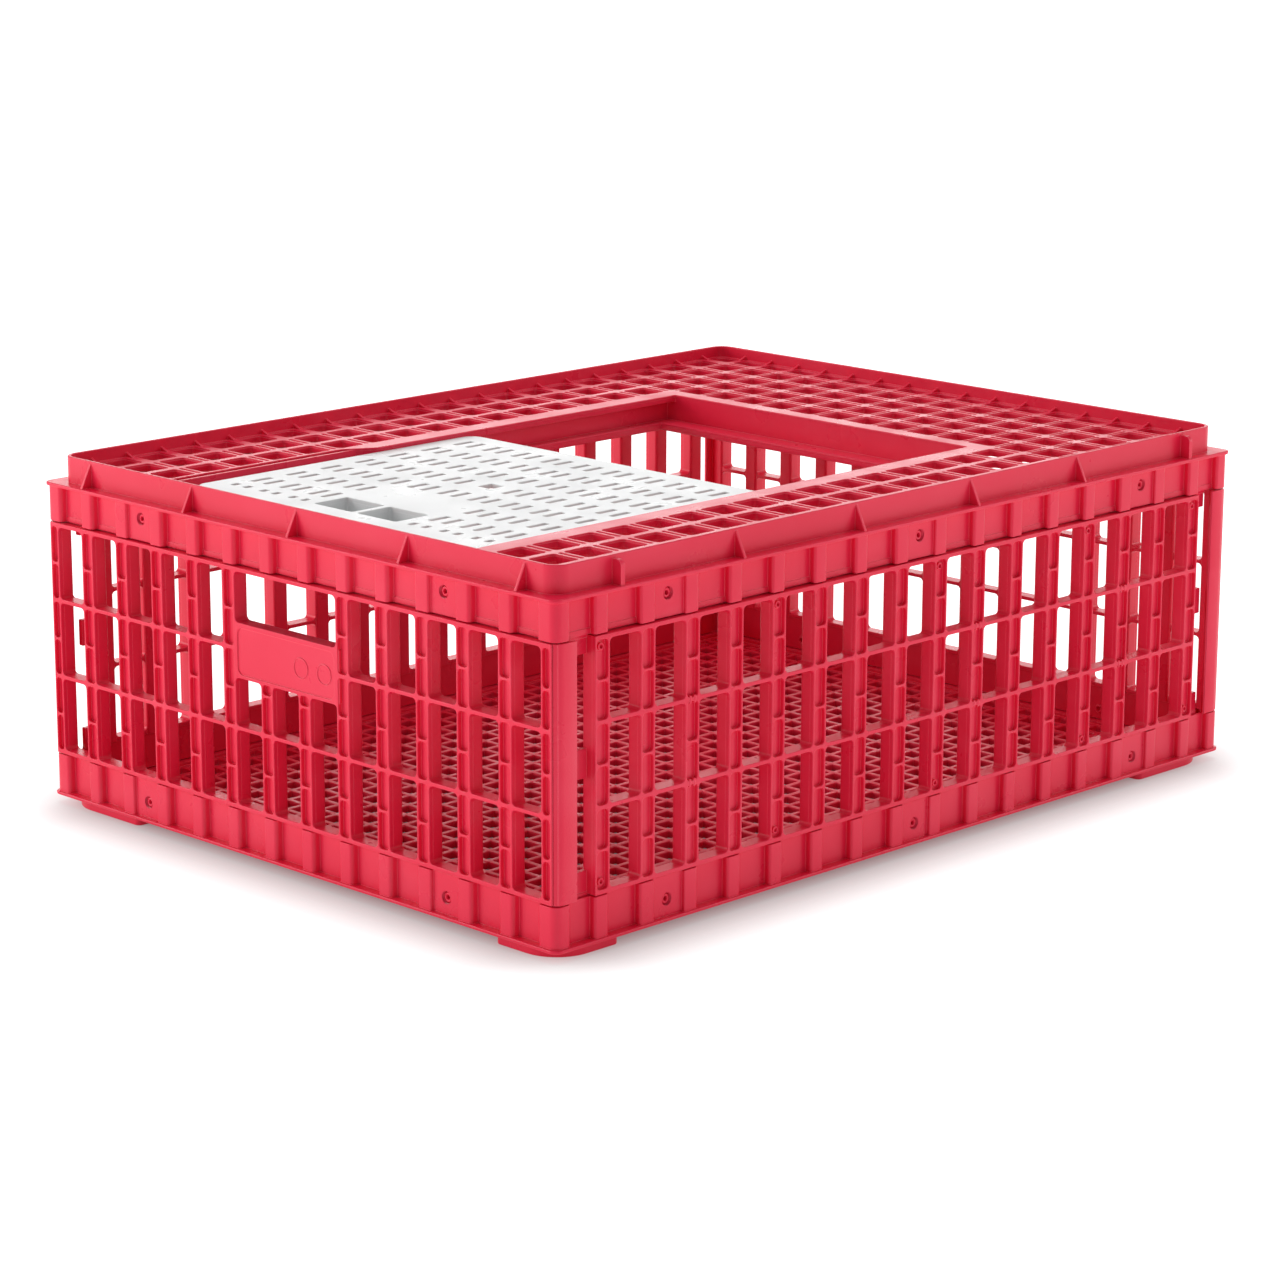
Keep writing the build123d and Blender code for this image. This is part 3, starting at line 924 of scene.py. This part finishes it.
def sliding_door():
    """The door's skin and skirt, then a flange, a runner and a finger pocket on each side."""
    x0, x1, half = DOOR
    skin = DOOR_TOP - DOOR_SKIN
    pockets = [pocket_outline(side, 0.0, 2.0) for side in (-1, 1)]
    bm = plate([rect(x0, x1, -half, half, DOOR_ROUND)] + door_slots() + pockets, skin, DOOR_TOP, 0.6, 1)
    skirt = []
    for inset, radius in ((SINK, DOOR_ROUND), (SKIRT_THICK, DOOR_ROUND - SKIRT_THICK)):
        skirt.append(rect(x0 + inset, x1 - inset, -half + inset, half - inset, radius))
    merge(bm, plate(skirt, SKIRT_BOTTOM, skin + 0.8, 0.5))
    start, end = x0 + FLANGE_SHORT, x1 - FLANGE_SHORT
    for side in (-1, 1):
        merge(bm, block(start, end, side * (half - 1.0), side * FLANGE_REACH, *FLANGE_Z, 0.5, 3.0))
        merge(bm, block(start + 0.2, end - 0.2, side * RUNNER_IN, side * (FLANGE_REACH - SINK),
                        RUNNER_BOTTOM, FLANGE_Z[1] - 0.2, 0.5))
        walls = [pocket_outline(side, POCKET_WALL, 3.0), pocket_outline(side, -0.2, 2.0)]
        merge(bm, plate(walls, POCKET_BOTTOM + 0.2, skin + 0.8, 0.3))
        floor_outline = pocket_outline(side, POCKET_WALL - 0.3, 2.8)
        merge(bm, plate([floor_outline], POCKET_BOTTOM, POCKET_BOTTOM + 2.0, 0.3))
    return bm


# ---------------------------------------------------------------- rivets
RIVET_HOLLOW = 1.7
RIVET_SHANK = 2.9
RIVET_STEPS = 32
HEAD = [(RIVET_HOLLOW, 0.8), (1.9, 1.9), (2.4, 2.2), (3.3, 2.2), (3.8, 1.8), (3.9, 0.7), (4.5, 0.4),
        (4.5, 0.0)]
FLARE = [(4.0, 0.0), (4.0, -0.8), (3.2, -1.5), (RIVET_HOLLOW, -1.5)]


def rivet(side, along, z):
    """A hollow rivet: domed head in its counterbore, shank through the wall, flare behind."""
    grip = BAND_IN - PAD - SEAT + TONGUE_THICK + 0.2
    shank = [(RIVET_SHANK, 0.0), (RIVET_SHANK, -grip)]
    profile = HEAD + shank + [(r, height - grip) for r, height in FLARE]
    bm = stand(lathe(profile, RIVET_STEPS), along, -(reach(side) - PAD - SEAT), z)
    return turned(bm, side)


# ---------------------------------------------------------------- materials
def grey(value):
    return (value, value, value)


class Nodes:
    """Short hand for laying out a material's nodes."""

    def __init__(self, name):
        self.material = bpy.data.materials.new(name)
        self.material.use_nodes = True
        self.tree = self.material.node_tree
        self.shader = self.tree.nodes["Principled BSDF"]
        self.place = self.add("ShaderNodeTexCoord").outputs["Object"]

    def add(self, kind, **values):
        node = self.tree.nodes.new(kind)
        for key, value in values.items():
            setattr(node, key, value)
        return node

    def link(self, source, target):
        self.tree.links.new(source, target)

    def shade(self, **values):
        """Sets inputs of the surface; a name's spaces are written as underscores."""
        for key, value in values.items():
            self.shader.inputs[key.replace("_", " ")].default_value = value

    def vector(self, operation, source):
        """A vector operation with its first input linked."""
        node = self.add("ShaderNodeVectorMath", operation=operation)
        self.link(source, node.inputs[0])
        return node

    def noise(self, scale, detail, stretch=(1.0, 1.0, 1.0)):
        mapping = self.add("ShaderNodeMapping")
        mapping.inputs["Scale"].default_value = stretch
        self.link(self.place, mapping.inputs["Vector"])
        noise = self.add("ShaderNodeTexNoise")
        noise.inputs["Scale"].default_value = scale
        noise.inputs["Detail"].default_value = detail
        self.link(mapping.outputs["Vector"], noise.inputs["Vector"])
        return noise.outputs["Fac"]

    def ramp(self, source, stops):
        ramp = self.add("ShaderNodeValToRGB")
        elements = ramp.color_ramp.elements
        while len(elements) < len(stops):
            elements.new(0.5)
        for element, (at, colour) in zip(elements, stops):
            element.position = at
            element.color = (*colour, 1.0)
        self.link(source, ramp.inputs["Fac"])
        return ramp.outputs["Color"]

    def mix(self, factor, under, colour):
        """A colour mixed towards a plain one."""
        mix = self.add("ShaderNodeMix", data_type="RGBA", blend_type="MIX")
        self.link(factor, mix.inputs["Factor"])
        self.link(under, mix.inputs["A"])
        mix.inputs["B"].default_value = (*colour, 1.0)
        return mix.outputs["Result"]

    def edges(self, radius):
        """A mask for a painted highlight: high on sharp edges, where the softened normal leaves the true one.
        """
        soft = self.add("ShaderNodeBevel", samples=4)
        soft.inputs["Radius"].default_value = radius
        agree = self.vector("DOT_PRODUCT", soft.outputs["Normal"])
        self.link(self.add("ShaderNodeNewGeometry").outputs["Normal"], agree.inputs[1])
        return self.ramp(agree.outputs["Value"], [(0.80, grey(0.7)), (0.97, grey(0.0))])


def polyethylene(name, colours, subsurface, tint):
    """Moulded polyethylene: faint flow marks in the colour, sharp edges painted paler as a painted highlight,
    an orange-peel skin.
    """
    n = Nodes(name)
    flow = n.ramp(n.noise(5.0, 3.0, (1.0, 1.0, 2.5)),
                  [(0.30, colours["deep"]), (0.52, colours["body"]), (0.75, colours["pale"])])
    # the "edge" colour is a painted highlight, mixed in along sharp edges
    n.link(n.mix(n.edges(0.9 * MM), flow, colours["edge"]), n.shader.inputs["Base Color"])
    gloss = n.ramp(n.noise(24.0, 5.0), [(0.30, grey(0.25)), (0.75, grey(0.40))])
    n.link(gloss, n.shader.inputs["Roughness"])
    height = n.add("ShaderNodeMath", operation="MULTIPLY_ADD")
    n.link(n.noise(38.0, 3.0, (1.0, 1.0, 0.35)), height.inputs[0])
    height.inputs[1].default_value = 2.0
    n.link(n.noise(900.0, 2.0), height.inputs[2])
    bump = n.add("ShaderNodeBump")
    bump.inputs["Strength"].default_value = 0.18
    bump.inputs["Distance"].default_value = 0.0005
    n.link(height.outputs["Value"], bump.inputs["Height"])
    n.link(bump.outputs["Normal"], n.shader.inputs["Normal"])
    n.shade(IOR=1.5, Specular_IOR_Level=0.27)
    n.shade(Subsurface_Weight=subsurface, Subsurface_Radius=tint, Subsurface_Scale=0.004)
    return n.material


# the "edge" colour is a painted highlight for sharp edges; the others are flow marks
RED = polyethylene("red_polyethylene",
                   {"body": (0.78, 0.015, 0.056), "pale": (0.81, 0.034, 0.080),
                    "deep": (0.75, 0.011, 0.048), "edge": (0.96, 0.15, 0.21)},
                   0.0, (1.0, 0.15, 0.15))
# the "edge" colour is a painted highlight for sharp edges; the others are flow marks
WHITE = polyethylene("white_polyethylene",
                     {"body": (0.74, 0.75, 0.75), "pale": (0.78, 0.79, 0.79),
                      "deep": (0.71, 0.72, 0.725), "edge": (0.84, 0.85, 0.85)},
                     0.1, (1.0, 0.95, 0.9))


# ---------------------------------------------------------------- the crate
finish_piece(base_tray(), "tray_moulding", "crate", "base_tray", RED)
finish_piece(top_frame(), "top_frame_moulding", "crate", "top_frame", RED)
for side in LONG_SIDES:
    finish_piece(long_wall(side), "long_lattice_" + side, "crate",
                 "long_wall_" + side, RED)
for side in END_SIDES:
    finish_piece(end_wall(side), "end_lattice_" + side, "crate",
                 "end_wall_" + side, RED)
finish_piece(sliding_door(), "door_moulding", "door", "sliding_door", WHITE)
for side, number, along in rivet_places():
    for level, z in RIVET_Z.items():
        node = "rivet_" + side + "_" + level + "_" + str(number)
        finish_piece(rivet(side, along, z), "hollow_" + node, "crate", node, RED)


# ---------------------------------------------------------------- floor, light and camera, in metres
FLOOR_REACH = 26.0
# where the floor's glow starts and how fast it rises; the darker floor inside it is a painted shadow round
# the crate
DARK_MARGIN = 0.06
GLOW_RISE = 0.15

# each soft box: place, target, size and power
SOFTBOXES = {
    "left_softbox": ((-2.7, 2.5, 1.0), (0.0, 0.0, 0.15), (2.6, 2.0), 70.0),
    "right_softbox": ((3.3, -2.4, 1.1), (0.1, 0.0, 0.15), (2.6, 2.0), 43.0),
    "back_softbox": ((3.2, 3.4, 1.7), (0.0, 0.0, 0.2), (4.0, 2.0), 50.0),
    "top_softbox": ((0.4, 0.4, 3.2), (0.0, 0.0, 0.2), (2.6, 2.6), 38.0),
}
WORLD_STRENGTH = 0.36

# the camera's place, and its bearing, drop and roll in degrees
EYE = (-2.2336, -2.2002, 0.8943)
BEARING = 44.719
DROP = 13.837
ROLL = -0.179
LENS = 107.95


def softbox(name, place, target, size, power):
    data = bpy.data.lights.new(name, "AREA")
    data.shape = "RECTANGLE"
    data.size, data.size_y = size
    data.energy = power
    light = bpy.data.objects.new(name, data)
    light.location = place
    light.rotation_euler = (Vector(target) - Vector(place)).to_track_quat("-Z", "Y").to_euler()
    light.visible_camera = False
    bpy.context.scene.collection.objects.link(light)


def floor_material():
    """Pale and matt; its faint glow is painted light and stops short of the crate, so the underside stays
    dark and the floor round the crate is left darker as a painted shadow.
    """
    n = Nodes("floor")
    n.shade(Base_Color=(0.42, 0.42, 0.42, 1.0), Roughness=1.0, Specular_IOR_Level=0.0,
            Emission_Color=(1.0, 1.0, 1.0, 1.0))
    # the glow grows with distance from the crate's footprint: painted light far off, a painted shadow close
    # in
    beyond = n.vector("SUBTRACT", n.vector("ABSOLUTE", n.place).outputs["Vector"])
    beyond.inputs[1].default_value = (HALF_X * MM - DARK_MARGIN, HALF_Y * MM - DARK_MARGIN, 0.0)
    outside = n.vector("MAXIMUM", beyond.outputs["Vector"])
    distance = n.vector("LENGTH", outside.outputs["Vector"])
    glow = n.add("ShaderNodeMapRange", interpolation_type="SMOOTHSTEP")
    glow.inputs["From Min"].default_value = 0.0
    glow.inputs["From Max"].default_value = GLOW_RISE
    glow.inputs["To Min"].default_value = 0.0
    glow.inputs["To Max"].default_value = 1.0
    n.link(distance.outputs["Value"], glow.inputs["Value"])
    n.link(glow.outputs["Result"], n.shader.inputs["Emission Strength"])
    return n.material


def floor():
    mesh = bpy.data.meshes.new("floor")
    s = FLOOR_REACH
    mesh.from_pydata([(-s, -s, 0), (s, -s, 0), (s, s, 0), (-s, s, 0)], [], [(0, 1, 2, 3)])
    mesh.materials.append(floor_material())
    ground = bpy.data.objects.new("floor", mesh)
    bpy.context.scene.collection.objects.link(ground)


def sky():
    """An even white surround."""
    world = bpy.data.worlds.new("world")
    world.use_nodes = True
    background = world.node_tree.nodes["Background"]
    background.inputs["Color"].default_value = (1.0, 1.0, 1.0, 1.0)
    background.inputs["Strength"].default_value = WORLD_STRENGTH
    bpy.context.scene.world = world
    bpy.context.scene.view_settings.view_transform = "Standard"


def camera():
    """Stands at the crate's near corner and looks slightly down, through a long lens."""
    data = bpy.data.cameras.new("camera")
    data.lens = LENS
    data.sensor_width = 36.0
    data.clip_end = 80.0
    bearing, drop, roll = math.radians(BEARING), math.radians(DROP), math.radians(ROLL)
    ahead = Vector((math.cos(drop) * math.cos(bearing), math.cos(drop) * math.sin(bearing), -math.sin(drop)))
    aim = ahead.to_track_quat("-Z", "Y").to_matrix() @ Matrix.Rotation(-roll, 3, "Z")
    eye = bpy.data.objects.new("camera", data)
    eye.location = EYE
    eye.rotation_euler = aim.to_euler()
    bpy.context.scene.collection.objects.link(eye)
    bpy.context.scene.camera = eye


floor()
for name, settings in SOFTBOXES.items():
    softbox(name, *settings)
sky()
camera()
